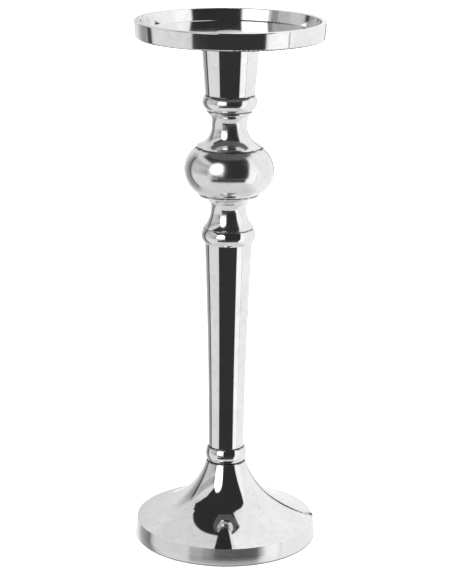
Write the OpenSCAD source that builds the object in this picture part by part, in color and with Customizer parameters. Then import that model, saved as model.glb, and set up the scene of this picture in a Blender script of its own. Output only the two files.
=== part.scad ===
// Pillar candlestick: turned pieces stacked on a tie rod, with a dish that screws down on the stem.
// The foot stands on z = 0 and every piece is turned about the Z axis.

/* [Overall] */
// Height from the table to the rim of the dish
total_h = 350.5; // [320:0.5:420]

/* [Dish] */
// Width across the rim
dish_d = 124; // [100:1:150]
// Height of the dish
dish_h = 11.3; // [9.5:0.1:16]
// Thickness of the rim
dish_wall = 4; // [3:0.5:6]
// Thickness of the dish floor
dish_floor = 3.2; // [2:0.1:4]
// How far the outside of the wall leans in from the rim to the underside
dish_draft = 1.1; // [0:0.1:3]
// How far the inside of the wall leans in from the rim to the floor
dish_inner_draft = 1.6; // [0:0.1:3]

/* [Stem] */
// Height of the neck under the dish
neck_h = 36.1; // [34:0.1:46]
// Radius of the neck at its top
neck_top_r = 19.1; // [18:0.1:22]
// Radius of the neck at its bottom
neck_low_r = 16.2; // [15:0.1:18]
// Height of the bead ring under the neck
bead_h = 10; // [8:0.5:12]
// Largest radius of that bead ring
bead_r = 18; // [17:0.1:20]
// Height of the upper hollow moulding
upper_h = 24.3; // [22:0.1:28]
// Height of the lower hollow moulding
lower_h = 23.2; // [21:0.1:27]
// Smallest radius of both hollow mouldings
waist_r = 11.7; // [11:0.1:13]
// Height of the knop
knop_h = 30.5; // [28:0.5:34]
// Largest radius of the knop
knop_r = 29.5; // [27:0.5:33]
// Radius of the shaft at its top, under the bead
shaft_top_r = 15.7; // [14:0.1:17]
// Radius of the shaft at its bottom
shaft_low_r = 11.9; // [11.5:0.1:13.5]
// Height of the collar under the shaft
collar_h = 10.2; // [9:0.1:12]
// Largest radius of the collar
collar_r = 13.8; // [13.6:0.1:15]

/* [Foot] */
// Diameter of the foot where it stands
foot_d = 122; // [112:1:136]
// How far the upright edge of the foot leans in from bottom to top
foot_draft = 1; // [0:0.1:3]
// Height of the foot up to the collar
foot_h = 52.6; // [50:0.2:58]
// Height of the upright edge of the foot
foot_edge_h = 12; // [9:0.1:14]
// Radius of the foot where it meets the collar
foot_neck_r = 13.1; // [12.8:0.1:14]
// Slope of the foot's sweep at its outer edge, in degrees
foot_edge_slope = 14.8; // [8:0.1:16]
// Slope where the shallow skirt of the foot turns into its tighter sweep up to the collar
foot_bend_slope = 35.6; // [32:0.1:38]

/* [Fastenings] */
// Diameter of the tie rod's thread
rod_d = 8; // [6:1:8]
// Radius of the spigots that centre one piece in the next
spigot_r = 7.5; // [7:0.1:8]

/* [Hidden] */

$fn = 160;
over = 1;            // how far a cutting shape runs past the piece it cuts

// Fits and seams
slack = 0.05;        // radial play of a thread
spigot_gap = 0.1;    // radial play of a spigot in its socket
spigot_h = 3;
socket_h = spigot_h + 0.2;
seam_gap = 0.5;      // height of the shadow groove between two pieces
seam_depth = 0.8;
edge_r = 0.6;        // rounding of the bright edges

// Fastenings
rod_r = rod_d / 2;
bore_r = rod_r + 0.5;
nut_across = 1.625 * rod_d;
nut_h = 0.8 * rod_d;
spring_h = rod_d / 4;
washer_t = 1.6;
washer_r = rod_d;
foot_washer_r = 12;
foot_washer_t = 2.5;
dish_washer_t = 0.8;

// Foot
pad_r = 5.5;
pad_t = 1.5;
pad_proud = 0.3;     // how far the felt stands below the metal
pad_count = 4;
foot_wall = 3.5;
foot_rim_w = 14;     // width of the solid rim that carries the felt
hub_h = 12.6;        // thickness of metal that the nut pulls against
foot_r = foot_d / 2;
skirt_part = 0.59;   // share of the sweep's width that the skirt takes

// Heights of the seams, from the table up
collar_z = foot_h;
shaft_z = collar_z + collar_h;
neck_z = total_h - dish_h - dish_washer_t - neck_h;
bead_z = neck_z - bead_h;
upper_z = bead_z - upper_h;
knop_z = upper_z - knop_h;
lower_z = knop_z - lower_h;
dish_z = neck_z + neck_h + dish_washer_t;
dish_floor_z = dish_z + dish_floor;
shaft_h = lower_z - shaft_z;

// Shaft
shaft_bead_h = 9.7;
shaft_bead_r = 18;
shaft_bead_end_r = 16;
shaft_sag = 0.65;    // how far the taper bows in from straight

// Mouldings
upper_lip_r = 21.2;
upper_fillet_r = 14.8;
upper_fillet_h = 1.3;
lower_lip_r = 20.2;
lower_foot_r = 16.6;
lip_h = 1.2;
lip_draft = 0.4;     // how far the underside of a lip draws in

// Neck
well_r = 12.5;       // the well in the top of the neck that holds the nut
well_depth = 24;
well_z = neck_z + neck_h - well_depth;

// Dish fastening
flange_r = 9.5;
flange_t = 0.9;
flange_sink = 0.5;   // how deep the flange is let into the dish floor
flange_z = dish_floor_z - flange_sink;
barrel_r = 7;
barrel_z = well_z + washer_t + spring_h + nut_h + 1.8;
ring_nut_r = 11;
ring_nut_t = 3;
rod_top_z = barrel_z + 11;
rod_low_z = foot_h - hub_h - foot_washer_t - spring_h - nut_h - 3;

// Radius of the circle through the ends of a chord and a point that stands off its middle
function bow_radius(chord, rise) = (chord * chord / 4 + rise * rise) / (2 * rise);

// Radius of the shaft at a part t of its plain length, which bows in between its ends
function taper_r(t) = shaft_low_r + (shaft_top_r - shaft_low_r) * t - 4 * shaft_sag * t * (1 - t);

// Radius of a hollow whose lip stands out by rise at a height of run from its waist
function cove_radius(run, rise) = (run * run + rise * rise) / (2 * rise);

function unit(v) = v / norm(v);
function turn(a, b) = a.x * b.y - a.y * b.x;
function half_angle(a, p, b) = acos(unit(a - p) * unit(b - p)) / 2;
function round_centre(a, p, b, r) =
    p + unit(unit(a - p) + unit(b - p)) * r / sin(half_angle(a, p, b));
function cut_back(a, p, b, r) =
    r == 0 ? [p] : let (d = r / tan(half_angle(a, p, b))) [p + unit(a - p) * d, p + unit(b - p) * d];

// Closed outline, drawn anticlockwise from corners [x, z, radius], each corner rounded to its radius
module outline(corners) {
    n = len(corners);
    p = [for (c = corners) [c.x, c.y]];
    before = [for (i = [0:n - 1]) p[(i + n - 1) % n]];
    after = [for (i = [0:n - 1]) p[(i + 1) % n]];
    bend = [for (i = [0:n - 1]) turn(p[i] - before[i], after[i] - p[i])];
    difference() {
        union() {
            polygon([for (i = [0:n - 1]) each cut_back(before[i], p[i], after[i], corners[i][2])]);
            for (i = [0:n - 1])
                if (corners[i][2] > 0 && bend[i] > 0)
                    translate(round_centre(before[i], p[i], after[i], corners[i][2])) circle(corners[i][2]);
        }
        for (i = [0:n - 1])
            if (corners[i][2] > 0 && bend[i] < 0)
                translate(round_centre(before[i], p[i], after[i], corners[i][2])) circle(corners[i][2]);
    }
}

module turned() {
    rotate_extrude() children();
}

// Half section of a plain bar from z to z + h
module bar(r, z, h) {
    translate([0, z]) square([r, h]);
}

// Groove round the lower edge of a piece, which leaves a dark line over the piece below
module seam_groove(r, z) {
    translate([r - seam_depth, z - over]) square([seam_depth + 2 * over, seam_gap + over]);
}

// Half section of a bead that swells from about end_r at both ends to r, with its fullest part
// at the middle of its height or raised above it
module bead_section(r, end_r, z, h, raised = 0) {
    swell = bow_radius(h, r - end_r);
    bar(r - swell, z, h);
    intersection() {
        bar(r + over, z, h);
        translate([r - swell, z + h / 2 + raised]) circle(swell, $fn = 240);
    }
}

// Half section of what one side of a hollow moulding loses: from its waist at z, up or down by run
module cove_cut(waist, lip, z, run) {
    cove = cove_radius(run, lip - waist);
    intersection() {
        translate([waist + cove, z]) circle(cove, $fn = 240);
        translate([0, min(z, z + run)]) square([waist + 2 * cove, abs(run)]);
    }
}

// Half section of what a hollow moulding loses along a straight waist
module waist_cut(low_z, high_z) {
    translate([waist_r, low_z]) square([waist_r, high_z - low_z]);
}

// Bore for the tie rod, and the socket in the top face for the spigot above
module rod_bore(z, h) {
    translate([0, 0, z - spigot_h - over]) cylinder(r = bore_r, h = h + 2 * spigot_h + 2 * over);
}

module socket(z_top) {
    translate([0, 0, z_top - socket_h]) cylinder(r = spigot_r + spigot_gap, h = socket_h + over);
}

module spigot(z, up = false) {
    translate([0, 0, up ? z - over : z - spigot_h]) cylinder(r = spigot_r, h = spigot_h + over);
}

module flat_washer(r, z, t, hole_r) {
    translate([0, 0, z]) difference() {
        cylinder(r = r, h = t);
        translate([0, 0, -over]) cylinder(r = hole_r, h = t + 2 * over);
    }
}

module lock_washer(z) {
    slit_w = 1.2;
    ring_r = rod_r + 3.2;
    difference() {
        flat_washer(ring_r, z, spring_h, rod_r + 0.2);
        translate([0, 0, z + spring_h / 2]) rotate([20, 0, 0])
            translate([0, -slit_w / 2, -2 * spring_h]) cube([ring_r + over, slit_w, 4 * spring_h]);
    }
}

module hex_nut(z) {
    corner_r = nut_across / 2 / cos(30);
    bevel = corner_r - nut_across / 2;
    translate([0, 0, z]) difference() {
        intersection() {
            cylinder(r = corner_r, h = nut_h, $fn = 6);
            turned() polygon([
                [0, 0], [corner_r - bevel, 0], [corner_r, bevel * tan(30)],
                [corner_r, nut_h - bevel * tan(30)], [corner_r - bevel, nut_h], [0, nut_h],
            ]);
        }
        translate([0, 0, -over]) cylinder(r = rod_r + slack, h = nut_h + 2 * over);
    }
}

// Wide shallow dish with an upright rim, bored for its threaded insert
module dish_pan() color([0.80, 0.80, 0.81]) difference() {
    rim_r = dish_d / 2;
    low_r = rim_r - dish_draft;
    turned() outline([
        [0, dish_z, 0],
        [low_r, dish_z, 1.2],
        [rim_r, total_h, edge_r],
        [rim_r - dish_wall, total_h, edge_r],
        [rim_r - dish_wall - dish_inner_draft, dish_floor_z, 0.6],
        [0, dish_floor_z, 0],
    ]);
    translate([0, 0, dish_z - over]) cylinder(r = barrel_r + spigot_gap, h = dish_floor + 2 * over);
    translate([0, 0, flange_z]) cylinder(r = flange_r + slack, h = flange_sink + over);
}

// Flanged sleeve in the middle of the dish, with a blind thread for the tie rod
module dish_insert() color([0.78, 0.78, 0.79]) difference() {
    turned() outline([
        [0, barrel_z, 0],
        [barrel_r, barrel_z, edge_r],
        [barrel_r, flange_z, 0],
        [flange_r, flange_z, 0],
        [flange_r, flange_z + flange_t, 0.3],
        [0, flange_z + flange_t, 0],
    ]);
    translate([0, 0, barrel_z - over])
        cylinder(r = rod_r + slack, h = flange_z - barrel_z + over);
}

// Ring nut that clamps the insert to the underside of the dish, with two slots for its key
module dish_ring_nut() color([0.72, 0.72, 0.70]) difference() {
    z = dish_z - ring_nut_t;
    slot_w = 2.5;
    flat_washer(ring_nut_r, z, ring_nut_t, barrel_r + slack);
    translate([0, 0, z]) cube([3 * ring_nut_r, slot_w, 2.4], center = true);
}

// Fibre washer between the neck and the dish
module dish_washer() color([0.35, 0.30, 0.26])
    flat_washer(neck_top_r - 1, dish_z - dish_washer_t, dish_washer_t, well_r);

// Tapered neck, with a well in its top for the nut that clamps the stem
module neck_cup() color([0.80, 0.80, 0.81]) difference() {
    union() {
        turned() difference() {
            outline([
                [0, neck_z, 0],
                [neck_low_r, neck_z, 0],
                [neck_top_r, neck_z + neck_h, edge_r],
                [0, neck_z + neck_h, 0],
            ]);
            seam_groove(neck_low_r, neck_z);
        }
        spigot(neck_z);
    }
    rod_bore(neck_z, neck_h);
    translate([0, 0, well_z]) cylinder(r = well_r, h = well_depth + over);
}

module neck_washer() color([0.75, 0.75, 0.74]) flat_washer(washer_r, well_z, washer_t, rod_r + 0.2);

module neck_lock_washer() color([0.60, 0.60, 0.60]) lock_washer(well_z + washer_t);

module neck_nut() color([0.75, 0.75, 0.74]) hex_nut(well_z + washer_t + spring_h);

// Half-round ring under the neck
module upper_bead() color([0.80, 0.80, 0.81]) difference() {
    end_r = bead_r - 2.6;
    union() {
        turned() difference() {
            bead_section(bead_r, end_r, bead_z, bead_h, raised = 0.4);
            seam_groove(end_r, bead_z);
        }
        spigot(bead_z);
    }
    rod_bore(bead_z, bead_h);
    socket(bead_z + bead_h);
}

// Hollow moulding that flares down from a small fillet to the top of the knop
module upper_cavetto() color([0.80, 0.80, 0.81]) difference() {
    low_waist_z = upper_z + 14;
    high_waist_z = low_waist_z + 2;
    fillet_z = upper_z + upper_h - upper_fillet_h;
    union() {
        turned() difference() {
            union() {
                bar(upper_lip_r, upper_z, low_waist_z - upper_z);
                bar(upper_fillet_r, upper_z, upper_h);
            }
            cove_cut(waist_r, upper_lip_r, low_waist_z, upper_z + lip_h - low_waist_z);
            waist_cut(low_waist_z, high_waist_z);
            cove_cut(waist_r, upper_fillet_r - 0.2, high_waist_z, fillet_z - high_waist_z);
            seam_groove(upper_lip_r, upper_z);
        }
        spigot(upper_z);
    }
    rod_bore(upper_z, upper_h);
    socket(upper_z + upper_h);
}

// Onion knop, cast hollow
module knop() color([0.80, 0.80, 0.81]) difference() {
    shell = 4.5;
    end_r = knop_r - 8.8;
    turned() difference() {
        bead_section(knop_r, end_r, knop_z, knop_h, raised = 0.5);
        bead_section(knop_r - shell, end_r - shell, knop_z + shell, knop_h - 2 * shell);
        seam_groove(end_r, knop_z);
    }
    translate([0, 0, knop_z - over]) cylinder(r = spigot_r + spigot_gap, h = knop_h + 2 * over);
}

// Hollow moulding under the knop, narrow at its waist and spreading to the top of the shaft
module lower_cavetto() color([0.80, 0.80, 0.81]) difference() {
    waist_z = lower_z + lower_h - 10.6;
    lip_z = lower_z + lower_h - lip_h;
    union() {
        turned() difference() {
            union() {
                bar(lower_foot_r, lower_z, lower_h);
                bar(lower_lip_r - lip_draft, waist_z, lip_z - waist_z);
                polygon([
                    [0, lip_z], [lower_lip_r - lip_draft, lip_z],
                    [lower_lip_r, lip_z + lip_h], [0, lip_z + lip_h],
                ]);
            }
            cove_cut(waist_r, lower_lip_r - lip_draft, waist_z, lip_z - waist_z);
            cove_cut(waist_r, lower_foot_r, waist_z, lower_z + 0.6 - waist_z);
            seam_groove(lower_foot_r, lower_z);
        }
        spigot(lower_z);
        spigot(lower_z + lower_h, up = true);
    }
    rod_bore(lower_z, lower_h);
}

// Long shaft that tapers down to the collar, with a bead worked on its top
module shaft() color([0.80, 0.80, 0.81]) difference() {
    plain_h = shaft_h - shaft_bead_h;
    steps = 8;
    turned() difference() {
        union() {
            polygon([
                [0, shaft_z],
                for (i = [0:steps]) [taper_r(i / steps), shaft_z + plain_h * i / steps],
                [0, shaft_z + plain_h],
            ]);
            bead_section(shaft_bead_r, shaft_bead_end_r, shaft_z + plain_h, shaft_bead_h);
        }
        seam_groove(shaft_low_r, shaft_z);
    }
    translate([0, 0, shaft_z - over]) cylinder(r = spigot_r + spigot_gap, h = shaft_h + 2 * over);
}

// Small ring between the shaft and the foot
module shaft_collar() color([0.80, 0.80, 0.81]) difference() {
    end_r = collar_r - 1.5;
    union() {
        turned() difference() {
            bead_section(collar_r, end_r, collar_z, collar_h);
            seam_groove(end_r, collar_z);
        }
        spigot(collar_z);
        spigot(collar_z + collar_h, up = true);
    }
    rod_bore(collar_z, collar_h);
}

// Trumpet foot, cast hollow under its concave sweep, with a solid rim that stands on the felt
module foot() color([0.80, 0.80, 0.81]) difference() {
    turned() difference() {
        outline([
            [0, pad_proud, 0],
            [foot_r, pad_proud, 0.5],
            [foot_r - foot_draft, foot_edge_h, 0],
            [foot_neck_r, foot_h, 0],
            [0, foot_h, 0],
        ]);
        sweep_cut();
        difference() {
            bar(foot_r - foot_rim_w, pad_proud - over, foot_h - hub_h - pad_proud + over);
            sweep_cut(foot_wall);
        }
    }
    rod_bore(0, foot_h);
    socket(foot_h);
    pad_places() cylinder(r = pad_r + spigot_gap, h = pad_t);
}

// Half section of the air over the foot, grown into the metal by grow: a shallow arc over the skirt,
// and a tighter one that goes on from it without a corner and ends at the collar
module sweep_cut(grow = 0) {
    edge = [foot_r - foot_draft, foot_edge_h];
    skirt_w = skirt_part * (edge.x - foot_neck_r);
    skirt_r = skirt_w / (sin(foot_bend_slope) - sin(foot_edge_slope));
    skirt_centre = edge + skirt_r * [sin(foot_edge_slope), cos(foot_edge_slope)];
    to_centre = [sin(foot_bend_slope), cos(foot_bend_slope)];
    bend = skirt_centre - skirt_r * to_centre;
    chord = [foot_neck_r, foot_h] - bend;
    sweep_r = chord * chord / (2 * chord * to_centre);
    split = bend.x - grow * to_centre.x;
    intersection() {
        translate(skirt_centre) circle(skirt_r + grow, $fn = 1000);
        translate([split, 0]) square([foot_r, foot_h + over]);
    }
    intersection() {
        translate(bend + sweep_r * to_centre) circle(sweep_r + grow, $fn = 1000);
        square([split, foot_h + over]);
    }
}

// Places of the felt pads round the rim of the foot
module pad_places() {
    for (i = [0:pad_count - 1])
        rotate(360 / pad_count * (i + 0.5)) translate([foot_r - foot_rim_w / 2, 0, 0]) children();
}

// Threaded rod that ties the whole stem together
module tie_rod() color([0.70, 0.70, 0.68]) turned() outline([
    [0, rod_low_z, 0],
    [rod_r - 0.8, rod_low_z, 0],
    [rod_r, rod_low_z + 0.8, 0],
    [rod_r, rod_top_z - 0.8, 0],
    [rod_r - 0.8, rod_top_z, 0],
    [0, rod_top_z, 0],
]);

module foot_washer() color([0.75, 0.75, 0.74])
    flat_washer(foot_washer_r, foot_h - hub_h - foot_washer_t, foot_washer_t, rod_r + 0.2);

module foot_lock_washer() color([0.60, 0.60, 0.60])
    lock_washer(foot_h - hub_h - foot_washer_t - spring_h);

module foot_nut() color([0.75, 0.75, 0.74])
    hex_nut(foot_h - hub_h - foot_washer_t - spring_h - nut_h);

// Felt pads let into the underside of the foot
module felt_pads() color([0.12, 0.12, 0.12]) pad_places() cylinder(r = pad_r, h = pad_t);

dish_pan();
dish_insert();
dish_ring_nut();
dish_washer();
neck_cup();
neck_nut();
neck_lock_washer();
neck_washer();
upper_bead();
upper_cavetto();
knop();
lower_cavetto();
shaft();
shaft_collar();
foot();
tie_rod();
foot_washer();
foot_lock_washer();
foot_nut();
felt_pads();
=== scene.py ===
"""Pillar candlestick of polished aluminium: camera, studio and finishes around the CAD frame."""
import math

import bmesh
import bpy
from mathutils import Euler, Matrix, Vector, noise


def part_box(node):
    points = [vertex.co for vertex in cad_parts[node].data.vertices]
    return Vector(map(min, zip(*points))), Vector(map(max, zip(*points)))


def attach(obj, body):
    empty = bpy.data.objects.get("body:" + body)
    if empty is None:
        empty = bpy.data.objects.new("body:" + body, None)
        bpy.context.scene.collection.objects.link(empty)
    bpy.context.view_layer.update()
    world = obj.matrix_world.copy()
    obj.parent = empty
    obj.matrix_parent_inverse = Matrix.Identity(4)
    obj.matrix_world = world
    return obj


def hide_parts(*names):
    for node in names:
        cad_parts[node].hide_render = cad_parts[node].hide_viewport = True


MM = 0.001

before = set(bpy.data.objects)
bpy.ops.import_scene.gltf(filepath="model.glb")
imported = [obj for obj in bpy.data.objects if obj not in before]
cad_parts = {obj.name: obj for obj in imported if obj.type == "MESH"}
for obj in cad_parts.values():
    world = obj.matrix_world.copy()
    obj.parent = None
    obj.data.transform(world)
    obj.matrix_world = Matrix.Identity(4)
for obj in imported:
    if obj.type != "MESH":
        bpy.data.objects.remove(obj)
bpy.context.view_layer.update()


# ---------------------------------------------------------------- camera

CAMERA_PLACE = (0.0015, -1.2429, 0.5203)
CAMERA_PITCH = math.radians(15.6)
CAMERA_ROLL = math.radians(0.67)
CAMERA_LENS = 122.0


def make_camera():
    data = bpy.data.cameras.new("camera")
    data.lens = CAMERA_LENS
    camera = bpy.data.objects.new("camera", data)
    bpy.context.scene.collection.objects.link(camera)
    tilt = Matrix.Rotation(math.pi / 2 - CAMERA_PITCH, 4, "X")
    roll = Matrix.Rotation(CAMERA_ROLL, 4, "Z")
    camera.matrix_world = Matrix.Translation(CAMERA_PLACE) @ tilt @ roll
    bpy.context.scene.camera = camera


# ---------------------------------------------------------------- shader graphs

class Graph:
    """Builds a node tree. An input is given as a number, a colour or the socket that feeds it."""

    def __init__(self, tree):
        self.tree = tree
        self.tree.nodes.clear()

    def add(self, kind, inputs, output=0, **settings):
        node = self.tree.nodes.new("ShaderNode" + kind)
        for name, value in settings.items():
            setattr(node, name, value)
        for name, value in inputs.items():
            if isinstance(value, bpy.types.NodeSocket):
                self.tree.links.new(value, node.inputs[name])
            else:
                node.inputs[name].default_value = value
        return node.outputs[output]

    def math(self, operation, first, second=0.0):
        return self.add("Math", {0: first, 1: second}, operation=operation)

    def times(self, first, second):
        return self.math("MULTIPLY", first, second)

    def plus(self, first, second):
        return self.math("ADD", first, second)

    def ease(self, value, low, high):
        """0 where value is below low, 1 where it is above high, and smooth between them."""
        inputs = {"Value": value, "From Min": low, "From Max": high}
        return self.add("MapRange", inputs, interpolation_type="SMOOTHSTEP")

    def spread(self, value, low, high):
        """A value from 0 to 1 brought to the range from low to high."""
        return self.add("MapRange", {"Value": value, "To Min": low, "To Max": high})

    def within(self, value, low, high, blur):
        """1 between low and high, fading to 0 over the blur on each side."""
        rise = self.ease(value, low - blur, low + blur)
        fall = self.ease(value, high + blur, high - blur)
        return self.times(rise, fall)

    def mix(self, factor, first, second):
        inputs = {0: factor, 6: first, 7: second}
        return self.add("Mix", inputs, output=2, data_type="RGBA")

    def blend(self, factor, first, second):
        """A number that goes from first to second with the factor."""
        inputs = {0: factor, 2: first, 3: second}
        return self.add("Mix", inputs, data_type="FLOAT")

    def noise(self, vector, scale, detail=3.0, roughness=0.5):
        inputs = {"Vector": vector, "Scale": scale, "Detail": detail, "Roughness": roughness}
        return self.add("TexNoise", inputs)

    def separate(self, vector):
        split = self.add("SeparateXYZ", {"Vector": vector}).node
        return [split.outputs[axis] for axis in "XYZ"]

    def combine(self, x, y, z):
        return self.add("CombineXYZ", {"X": x, "Y": y, "Z": z})

    def bump(self, height, distance, normal=None):
        inputs = {"Height": height, "Distance": distance, "Strength": 1.0}
        if normal:
            inputs["Normal"] = normal
        return self.add("Bump", inputs)

    def finish(self, shader, kind="Material"):
        output = self.tree.nodes.new("ShaderNodeOutput" + kind)
        self.tree.links.new(shader, output.inputs["Surface"])


def new_material(name):
    material = bpy.data.materials.new(name)
    material.use_nodes = True
    return material, Graph(material.node_tree)


def grey(value):
    return (value, value, value, 1.0)


# ---------------------------------------------------------------- studio

# What stands round the candlestick, and what its metal reflects. Azimuth runs from the camera,
# at 0, to its right; elevation runs up from the horizon, both in degrees. A later row stands in
# front of an earlier one. Each row gives azimuths, elevations, the blur of both, and brightness.
WALL = 0.72
ROOM = [
    ((70, 400), (-95, 95), 15, 9, 0.96),            # bright wall on the right
    ((-165, -50), (-95, 38), 12, 4, 0.79),          # wall on the left
    ((-125, -50), (-6, 33), 8, 6, 0.62),            # its upper part
    ((-111, -50), (22, 33), 3, 3, 0.44),            # shelf along it
    ((-60, -50), (22, 33), 2, 3, 0.22),             # near end of the shelf
    ((-141, -113), (-50, 30), 12, 10, 0.34),        # curtain on the left
    ((-86, -64), (-3, 16), 3, 4, 0.52),             # window recess
    ((-65, -55), (-3, 16), 2, 4, 0.30),             # its frame
    ((-400, 400), (-95, -50), 9, 8, 0.70),          # table, all round
]
CURTAIN_FOLD = ((-121.5, -112.5), (-46, 30), 2.0, 6, 0.06)
FOLD_SLANT = 0.2                                    # degrees sideways for each one up
LOW_BACK_LIGHT = ((-32, 30), (-27, -13), 8, 4, 1.0)  # its azimuths run from straight behind
LIGHT_PANEL = ((45, 80), (-34, 58), 5, 6, 1.08)
PANEL_EDGE = ((74.6, 76.2), (-34, -4), 0.8, 3, 0.2)
DARK_FLOOR = [
    ((-44, -14), (-12, -3), 1.5, 1.5, 0.08),        # far part
    ((-28, -14), (-17, -12), 1.5, 1.5, 0.034),      # strip between
    ((-47, 44), (-29, -16), 1.5, 1, 0.034),         # near part
]

# A thin dark outline behind the candlestick, an ellipse of which only the right half shows
RING_MIDDLE = (-3, 0)                               # azimuth from straight behind, elevation
RING_SIZE = (29, 21)                                # half width and half height
RING_BAND = (0.945, 1.055, 0.03)                    # from and to as parts of the size, and blur
RING_START = (8, 12)                                # azimuths behind where the outline fades in
RING_BRIGHTNESS = 0.04

# Planes through the middle of the scene bound the ceiling and the dark room, as (x, y, z)
PLANE_BLUR = 0.012
CEILING_SIDES = (-0.96, 0.19)                       # its left and right edges, as x over height
CEILING_BLUR = 0.02                                 # of those edges
CEILING_BACK = (0, 1, -0.37)                        # the plane through its back edge
CEILING_CORNER = (1, 1, -0.41)                      # and the one that cuts off its right corner
CEILING_FRONT = (20, 26)                            # elevations over which it begins
CEILING_BRIGHTNESS = 0.03

DARK_ROOM_SIDES = (-14, 52)                         # azimuths of its edges on the horizon
DARK_ROOM_BLUR = (1.5, 2)                           # of its left and right edge
DARK_ROOM_LEAN = 0.0088                             # right edge: by the square of the elevation,
DARK_ROOM_LEAN_BELOW = 0.3                          # and below the horizon by the elevation
DARK_ROOM_BACK = (0, 1, 0.11)                       # the plane through its back edge
DARK_ROOM_BOTTOM = (-19, -13)                       # elevations over which it begins
DARK_ROOM_BRIGHTNESS = 0.030

SOFTBOX_MIDDLE = (-34, 25.5)                        # azimuth, elevation
SOFTBOX_SIZE = (18.7, 23)                           # half width and half height
SOFTBOX_ROUNDING = 2.4                              # 2 is an ellipse, more is squarer
SOFTBOX_BRIGHTNESS = 1.7

BACKDROP = 1.0                                      # what the camera sees behind the candlestick


class Surroundings(Graph):
    """Brightness of the studio by direction, painted one area over another."""

    def __init__(self, tree):
        super().__init__(tree)
        self.place = self.add("TexCoord", {}, "Generated")
        self.x, self.y, self.z = self.separate(self.place)
        self.azimuth = self.angle("ARCTAN2", self.x, self.times(self.y, -1.0))
        self.behind = self.angle("ARCTAN2", self.x, self.y)
        self.elevation = self.angle("ARCSINE", self.z)
        self.light = WALL

    def angle(self, operation, *values):
        return self.math("DEGREES", self.math(operation, *values))

    def paint(self, cover, brightness):
        self.light = self.blend(cover, self.light, brightness)

    def area(self, row, azimuth=None):
        azimuths, elevations, blur, blur_up, brightness = row
        across = self.within(azimuth or self.azimuth, *azimuths, blur)
        upward = self.within(self.elevation, *elevations, blur_up)
        self.paint(self.times(across, upward), brightness)

    def in_front_of(self, plane):
        inputs = {0: self.place, 1: plane}
        beyond = self.add("VectorMath", inputs, "Value", operation="DOT_PRODUCT")
        return self.ease(beyond, PLANE_BLUR, -PLANE_BLUR)

    def from_middle(self, azimuth, middle, size):
        """How far off the middle a direction is, sideways and upward, in parts of the size."""
        across = self.times(self.plus(azimuth, -middle[0]), 1 / size[0])
        upward = self.times(self.plus(self.elevation, -middle[1]), 1 / size[1])
        return across, upward

    def curtain_fold(self):
        slanted = self.plus(self.azimuth, self.times(self.elevation, FOLD_SLANT))
        self.area(CURTAIN_FOLD, slanted)

    def ring(self):
        across, upward = self.from_middle(self.behind, RING_MIDDLE, RING_SIZE)
        squares = self.plus(self.times(across, across), self.times(upward, upward))
        outline = self.within(self.math("SQRT", squares), *RING_BAND)
        self.paint(self.times(outline, self.ease(self.behind, *RING_START)), RING_BRIGHTNESS)

    def ceiling(self):
        height = self.math("MAXIMUM", self.z, 0.05)
        cover = self.within(self.math("DIVIDE", self.x, height), *CEILING_SIDES, CEILING_BLUR)
        for plane in (CEILING_BACK, CEILING_CORNER):
            cover = self.times(cover, self.in_front_of(plane))
        cover = self.times(cover, self.ease(self.elevation, *CEILING_FRONT))
        self.paint(cover, CEILING_BRIGHTNESS)

    def dark_room(self):
        above = self.math("MAXIMUM", self.elevation, 0.0)
        below = self.math("MINIMUM", self.elevation, 0.0)
        lean_above = self.times(self.times(above, above), DARK_ROOM_LEAN)
        lean = self.plus(lean_above, self.times(below, DARK_ROOM_LEAN_BELOW))
        upright = self.math("SUBTRACT", self.azimuth, lean)
        left, right = DARK_ROOM_SIDES
        blur, right_blur = DARK_ROOM_BLUR
        cover = self.ease(self.elevation, *DARK_ROOM_BOTTOM)
        cover = self.times(cover, self.ease(self.azimuth, left - blur, left + blur))
        cover = self.times(cover, self.in_front_of(DARK_ROOM_BACK))
        cover = self.times(cover, self.ease(upright, right + right_blur, right - right_blur))
        self.paint(cover, DARK_ROOM_BRIGHTNESS)

    def softbox(self):
        offsets = self.from_middle(self.azimuth, SOFTBOX_MIDDLE, SOFTBOX_SIZE)
        across, upward = [
            self.math("POWER", self.math("ABSOLUTE", offset), SOFTBOX_ROUNDING) for offset in offsets
        ]
        self.paint(self.ease(self.plus(across, upward), 1.2, 0.8), SOFTBOX_BRIGHTNESS)


def make_studio():
    world = bpy.data.worlds.new("studio")
    world.use_nodes = True
    bpy.context.scene.world = world
    g = Surroundings(world.node_tree)
    for row in ROOM:
        g.area(row)
    g.curtain_fold()
    g.area(LOW_BACK_LIGHT, g.behind)
    g.ring()
    g.ceiling()
    g.area(LIGHT_PANEL)
    for row in DARK_FLOOR:
        g.area(row)
    g.dark_room()
    g.softbox()
    g.area(PANEL_EDGE)

    seen_directly = g.add("LightPath", {}, "Is Camera Ray")
    colour = g.mix(seen_directly, g.light, grey(BACKDROP))
    g.finish(g.add("Background", {"Color": colour}), "World")


FLOOR_REACH = 6.0                                   # metres each way from the candlestick
FLOOR_COLOUR = grey(0.9)
OVERHEAD_POWER = 6.0
OVERHEAD_SIZE = math.radians(75)                    # how wide the light looks from below


def make_floor():
    corners = [(x * FLOOR_REACH, y * FLOOR_REACH, 0) for x, y in ((-1, -1), (1, -1), (1, 1), (-1, 1))]
    mesh = bpy.data.meshes.new("floor")
    mesh.from_pydata(corners, [], [(0, 1, 2, 3)])
    floor = bpy.data.objects.new("floor", mesh)
    bpy.context.scene.collection.objects.link(floor)
    floor.visible_glossy = False
    material, g = new_material("floor")
    g.finish(g.add("BsdfDiffuse", {"Color": FLOOR_COLOUR}))
    mesh.materials.append(material)


def make_overhead_light():
    data = bpy.data.lights.new("overhead", "SUN")
    data.angle = OVERHEAD_SIZE
    data.energy = OVERHEAD_POWER
    light = bpy.data.objects.new("overhead", data)
    light.visible_glossy = False
    bpy.context.scene.collection.objects.link(light)


# ---------------------------------------------------------------- finishes

def top(node):
    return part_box(node)[1].z


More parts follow.
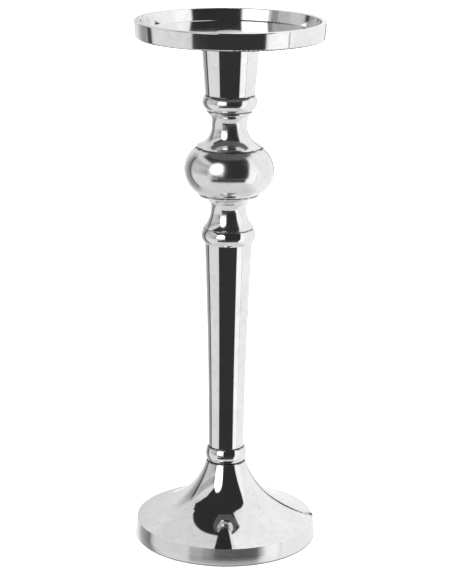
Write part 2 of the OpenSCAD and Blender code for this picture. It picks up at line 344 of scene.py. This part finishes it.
def bottom(node):
    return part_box(node)[0].z


SPIGOT = 3 * MM                                     # on top of the shaft's collar, inside the shaft
# Where two turned pieces meet and polish stays behind
SEAM_HEIGHTS = [
    top("upper_bead"), top("upper_cavetto"), top("knop"), bottom("knop"), top("shaft"),
    top("shaft_collar") - SPIGOT, top("foot"),
]
FOOT_EDGE_TOP = 12 * MM                             # height of the foot's upright edge
# How blurred the reflections are on each polished piece of the stem, from the top down
STEM_ROUGHNESS = {
    "neck_cup": 0.04, "upper_bead": 0.11, "upper_cavetto": 0.11, "knop": 0.14,
    "lower_cavetto": 0.11, "shaft": 0.04, "shaft_collar": 0.04,
}
POLISHED = grey(0.90)
CLOUDED = (0.83, 0.83, 0.825, 1)                    # where the polish is a little dull
# Dark grainy skin: the cast metal under the foot, and painted shade on the dish's polished underside
CAST_SKIN_AND_SHADE = (grey(0.16), grey(0.29))                  # dark and light grains
POLISH_LEFT = (0.06, 0.055, 0.05, 1)                # dried in the seams
PLATED = (0.62, 0.62, 0.60, 1)
SPRING_STEEL = (0.42, 0.42, 0.43, 1)


def polished_metal(name, seed, roughness, marks=0.6e-6, seams=(), cast_skin_and_shade_below=None, raw_up_to=-1.0):
    """Turned and buffed aluminium: faint lathe rings, cloudy patches, polish left in seams.

    marks is the depth of the lathe rings, in metres. Faces whose normal's z is under the given
    underside limit get a dark, grainy cast skin, and so does all that lies lower than raw_up_to;
    where that underside is polished, as under the dish, the dark skin is painted shade.
    """
    material, g = new_material(name)
    place = g.add("TexCoord", {}, "Object")
    x, y, z = g.separate(place)
    shifted = g.add("VectorMath", {0: place, 1: (seed, seed * 0.7, 0)}, operation="ADD")
    radius = g.add("VectorMath", {0: g.combine(x, y, 0.0)}, "Value", operation="LENGTH")

    clouds = g.noise(shifted, 40, 4, 0.6)
    mottle = g.noise(shifted, 220, 3, 0.6)
    wander = g.times(g.noise(shifted, 60, 2), 0.3 * MM)
    rings_at = g.combine(g.plus(radius, wander), g.plus(z, wander), seed)
    fine_rings = g.noise(rings_at, 1800, 3, 0.7)
    broad_rings = g.noise(rings_at, 350, 2, 0.5)
    waves = g.noise(shifted, 55, 1, 0.4)

    colour = g.mix(g.ease(clouds, 0.3, 0.75), POLISHED, CLOUDED)
    colour = g.mix(g.times(g.ease(mottle, 0.45, 0.75), 0.09), colour, grey(0.0))
    finish = g.spread(clouds, roughness * 0.4, roughness * 1.8)
    finish = g.plus(finish, g.times(g.ease(fine_rings, 0.5, 0.8), roughness))
    normal = g.bump(waves, 25e-6)
    normal = g.bump(g.plus(fine_rings, g.times(broad_rings, 1.5)), marks, normal)

    for seam in seams:
        dirt = g.within(z, seam - 0.5 * MM, seam + 0.6 * MM, 0.5 * MM)
        dirt = g.times(dirt, g.ease(g.noise(shifted, 300, 3), 0.25, 0.6))
        colour = g.mix(g.times(dirt, 0.85), colour, POLISH_LEFT)
        finish = g.blend(dirt, finish, 0.5)
    # Dark grainy skin on downward and low faces: cast metal, and painted shade where the underside is
    # polished
    if cast_skin_and_shade_below is not None:
        facing = g.separate(g.add("TexCoord", {}, "Normal"))[2]
        under = g.ease(facing, cast_skin_and_shade_below, cast_skin_and_shade_below - 0.05)
        under = g.math("MAXIMUM", under, g.ease(z, raw_up_to + 0.1 * MM, raw_up_to))
        grain = g.noise(place, 900, 4, 0.65)
        colour = g.mix(under, colour, g.mix(grain, *CAST_SKIN_AND_SHADE))
        finish = g.blend(under, finish, g.spread(grain, 0.42, 0.65))
        normal = g.bump(g.times(grain, under), 60e-6, normal)

    shader = g.add("BsdfPrincipled", {
        "Base Color": colour, "Metallic": 1.0, "Roughness": finish, "Normal": normal,
    })
    g.finish(shader)
    return material


def turned_edge(name, height):
    """Upright edge of the foot as the tool left it: fine rings that smear reflections upward."""
    material, g = new_material(name)
    place = g.add("TexCoord", {}, "Object")
    x, y, z = g.separate(place)
    clouds = g.noise(place, 90, 3, 0.6)
    rings = g.noise(g.combine(g.times(x, 20), g.times(y, 20), g.times(z, 900)), 1, 3, 0.6)
    from_middle = g.plus(g.times(z, -2 / height), 1.0)
    rolled_under = g.math("POWER", g.math("MAXIMUM", from_middle, 0.0), 2.0)
    normal = g.bump(g.times(rolled_under, -1.0), 0.8 * MM)
    normal = g.bump(rings, 60e-6, normal)
    shader = g.add("BsdfPrincipled", {
        "Base Color": g.mix(clouds, grey(0.88), grey(0.80)),
        "Metallic": 1.0,
        "Roughness": g.spread(rings, 0.18, 0.28),
        "Anisotropic": 0.9,
        "Tangent": g.combine(0.0, 0.0, 1.0),
        "Normal": normal,
    })
    g.finish(shader)
    return material


def plated_steel(name, seed, colour=PLATED):
    """Zinc-plated fastener: satin, with a mottled skin and fine tool marks."""
    material, g = new_material(name)
    place = g.add("TexCoord", {}, "Object")
    shifted = g.add("VectorMath", {0: place, 1: (seed, 0, seed)}, operation="ADD")
    x, y, z = g.separate(shifted)
    mottle = g.noise(shifted, 450, 4, 0.6)
    lines = g.noise(g.combine(x, y, g.times(z, 25)), 300, 3, 0.6)
    dull = [0.72 * part for part in colour[:3]] + [1]
    shade = g.mix(mottle, dull, colour)
    finish = g.spread(mottle, 0.22, 0.45)
    normal = g.bump(g.plus(mottle, lines), 8e-6)
    shader = g.add("BsdfPrincipled", {
        "Base Color": shade, "Metallic": 1.0, "Roughness": finish, "Normal": normal,
    })
    g.finish(shader)
    return material


def fibre(name):
    """Pressed red-brown fibre board of the washer under the dish."""
    material, g = new_material(name)
    place = g.add("TexCoord", {}, "Object")
    strands = g.noise(place, 1500, 5, 0.7)
    colour = g.mix(strands, (0.10, 0.055, 0.04, 1), (0.22, 0.13, 0.09, 1))
    shader = g.add("BsdfPrincipled", {
        "Base Color": colour, "Roughness": g.spread(strands, 0.7, 0.95),
        "Normal": g.bump(strands, 40e-6),
    })
    g.finish(shader)
    return material


def felt(name):
    """Black wool felt: dark matted fibres with a soft sheen."""
    material, g = new_material(name)
    place = g.add("TexCoord", {}, "Object")
    fibres = g.noise(place, 2200, 6, 0.75)
    tufts = g.noise(place, 500, 3, 0.6)
    colour = g.mix(fibres, (0.008, 0.008, 0.009, 1), (0.055, 0.053, 0.052, 1))
    shader = g.add("BsdfPrincipled", {
        "Base Color": colour, "Roughness": 0.95, "Sheen Weight": 0.4,
        "Normal": g.bump(g.plus(fibres, tufts), 120e-6),
    })
    g.finish(shader)
    return material


def dress(node, material):
    """Gives a CAD node one finish all over."""
    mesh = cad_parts[node].data
    mesh.materials.clear()
    mesh.materials.append(material)


def dress_stem():
    for seed, (node, roughness) in enumerate(STEM_ROUGHNESS.items()):
        near = [seam for seam in SEAM_HEIGHTS if bottom(node) - MM < seam < top(node) + MM]
        dress(node, polished_metal(node, seed, roughness, seams=near))


def dress_foot():
    """Polished on top, as cast underneath and in the hollow, and turned on the upright edge."""
    dress("foot", polished_metal(
        "foot", 11, roughness=0.04, seams=[top("foot")],
        cast_skin_and_shade_below=-0.02, raw_up_to=FOOT_EDGE_TOP - MM,
    ))
    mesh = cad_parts["foot"].data
    mesh.materials.append(turned_edge("foot_edge", FOOT_EDGE_TOP))
    outer_part = 0.9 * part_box("foot")[1].x
    for face in mesh.polygons:
        outside = math.hypot(face.center.x, face.center.y) > outer_part
        upright = abs(face.normal.z) < 0.2
        if outside and upright:
            face.material_index = 1


def dress_dish():
    # The dish's underside is polished; the dark grainy skin on its downward faces is painted shade
    dress("dish_pan", polished_metal("dish_pan", 12, roughness=0.07, marks=1.5e-6, cast_skin_and_shade_below=-0.5))
    dress("dish_insert", polished_metal("dish_insert", 13, roughness=0.10, marks=1.5e-6))
    dress("dish_washer", fibre("dish_washer"))


def dress_fasteners():
    plated = ["dish_ring_nut", "neck_nut", "neck_washer", "foot_nut", "foot_washer"]
    for seed, node in enumerate(plated):
        dress(node, plated_steel(node, seed))
    for seed, node in enumerate(["neck_lock_washer", "foot_lock_washer"], start=7):
        dress(node, plated_steel(node, seed, SPRING_STEEL))


# ---------------------------------------------------------------- pieces made here

def make_piece(name, mesh, material, body, node):
    """A piece that rides on a body and takes the place of a CAD node."""
    mesh.materials.append(material)
    piece = bpy.data.objects.new(name, mesh)
    bpy.context.scene.collection.objects.link(piece)
    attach(piece, body)
    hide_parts(node)
    return piece


def lathe_grid(bm, rows, columns, place):
    """Skin through a grid of points place(row, column), closed with a flat face at both ends."""
    grid = [[bm.verts.new(place(row, column)) for column in range(columns + 1)] for row in rows]
    for low, high in zip(grid, grid[1:]):
        for i in range(columns):
            bm.faces.new((low[i], low[i + 1], high[i + 1], high[i]))
    bm.faces.new(grid[0][-2::-1])
    bm.faces.new(grid[-1][:-1])


def welded_mesh(name, bm, crease):
    """Mesh with doubled points joined, smooth except at edges sharper than crease, in degrees."""
    mesh = bpy.data.meshes.new(name)
    bmesh.ops.remove_doubles(bm, verts=bm.verts, dist=1e-6)
    bmesh.ops.dissolve_degenerate(bm, edges=bm.edges, dist=1e-6)
    bm.to_mesh(mesh)
    bm.free()
    mesh.shade_smooth()
    mesh.set_sharp_from_angle(angle=math.radians(crease))
    return mesh


THREAD_PITCH = 1.25 * MM
THREAD_DEPTH = 0.75 * MM
THREADED = 36 * MM                                  # length of the thread at each end of the rod
SHANK_CUT = 0.35 * MM                               # how far the plain shank lies inside the crests
# Parts of a pitch where the thread's root ends, its crest starts and ends, and its root starts
THREAD_STEPS = [(0.125, 0), (0.4375, 1), (0.5625, 1), (0.875, 0)]
ROD_COLUMNS = 48
RUN_OUT = 1.5                                       # pitches over which the thread fades away


def make_tie_rod():
    """Steel rod with a rolled thread at both ends and a plain shank between them."""
    low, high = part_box("tie_rod")
    crest = high.x
    root = crest - THREAD_DEPTH
    shank = crest - SHANK_CUT
    turns = math.ceil(THREADED / THREAD_PITCH)
    rows = []
    for start in (low.z, high.z - THREADED):
        for turn in range(-1, turns + 1):
            rows += [(start, turn + part, lift) for part, lift in THREAD_STEPS]

    def place(row, column):
        start, turn, lift = row
        angle = math.tau * column / ROD_COLUMNS
        height = start + THREAD_PITCH * (turn + column / ROD_COLUMNS)
        height = min(max(height, start), start + THREADED)
        to_end = min(height - low.z, high.z - height)
        to_shank = THREADED - to_end
        run_out = min(1, to_shank / (RUN_OUT * THREAD_PITCH))
        radius = shank + (root + THREAD_DEPTH * lift - shank) * run_out
        radius = min(radius, root + to_end)
        return (radius * math.cos(angle), radius * math.sin(angle), height)

    bm = bmesh.new()
    lathe_grid(bm, rows, ROD_COLUMNS, place)
    mesh = welded_mesh("threaded_rod", bm, crease=35)
    make_piece("threaded_rod", mesh, plated_steel("threaded_rod", 10), "stand", "tie_rod")


PAD_RADIUS = 5.5 * MM
PAD_TURNS = (45, 135, 225, 315)                     # degrees round the foot
PAD_COLUMNS = 64
# Section of a pad: radius as a part of the pad's, height as a part of its thickness
PAD_SIDE = [(0.02, 1), (0.99, 1), (1, 0.9), (1, 0.6), (0.99, 0.35), (0.96, 0.16), (0.91, 0.06)]
PAD_FACE = [(part, 0.03 * part) for part in (0.84, 0.76, 0.68, 0.6, 0.5, 0.4, 0.3, 0.2, 0.1, 0.02)]
FUZZ_SIDE = 0.06 * MM                               # how far the fibres draw in from the edge,
FUZZ_FACE = 0.07 * MM                               # and up from the face that touches the table


def make_felt_pads():
    """Four punched discs of wool felt, pressed a little round at the edge and fuzzy all over."""
    low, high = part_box("felt_pads")
    out = (high.x - PAD_RADIUS) / math.cos(math.radians(PAD_TURNS[0]))
    thick = high.z - low.z
    bm = bmesh.new()
    for turn in PAD_TURNS:
        middle = Vector((out, 0, 0))
        middle.rotate(Euler((0, 0, math.radians(turn))))

        def place(row, column):
            part, lift = row
            angle = -math.tau * column / PAD_COLUMNS
            point = middle + PAD_RADIUS * part * Vector((math.cos(angle), math.sin(angle), 0))
            point.z = low.z + thick * lift
            fuzz = noise.fractal(point * 1800, 0.8, 2.0, 3)
            if lift < 1:
                point += (middle - point).normalized() * FUZZ_SIDE * (1 + fuzz)
                point.z = max(point.z + FUZZ_FACE * (1 + fuzz), low.z)
            return point

        lathe_grid(bm, PAD_SIDE + PAD_FACE, PAD_COLUMNS, place)
    mesh = welded_mesh("felt_discs", bm, crease=80)
    pads = make_piece("felt_discs", mesh, felt("felt_discs"), "stand", "felt_pads")


make_camera()
make_studio()
make_floor()
make_overhead_light()
dress_stem()
dress_foot()
dress_dish()
dress_fasteners()
make_tie_rod()
make_felt_pads()

bpy.context.scene.view_settings.view_transform = "Standard"
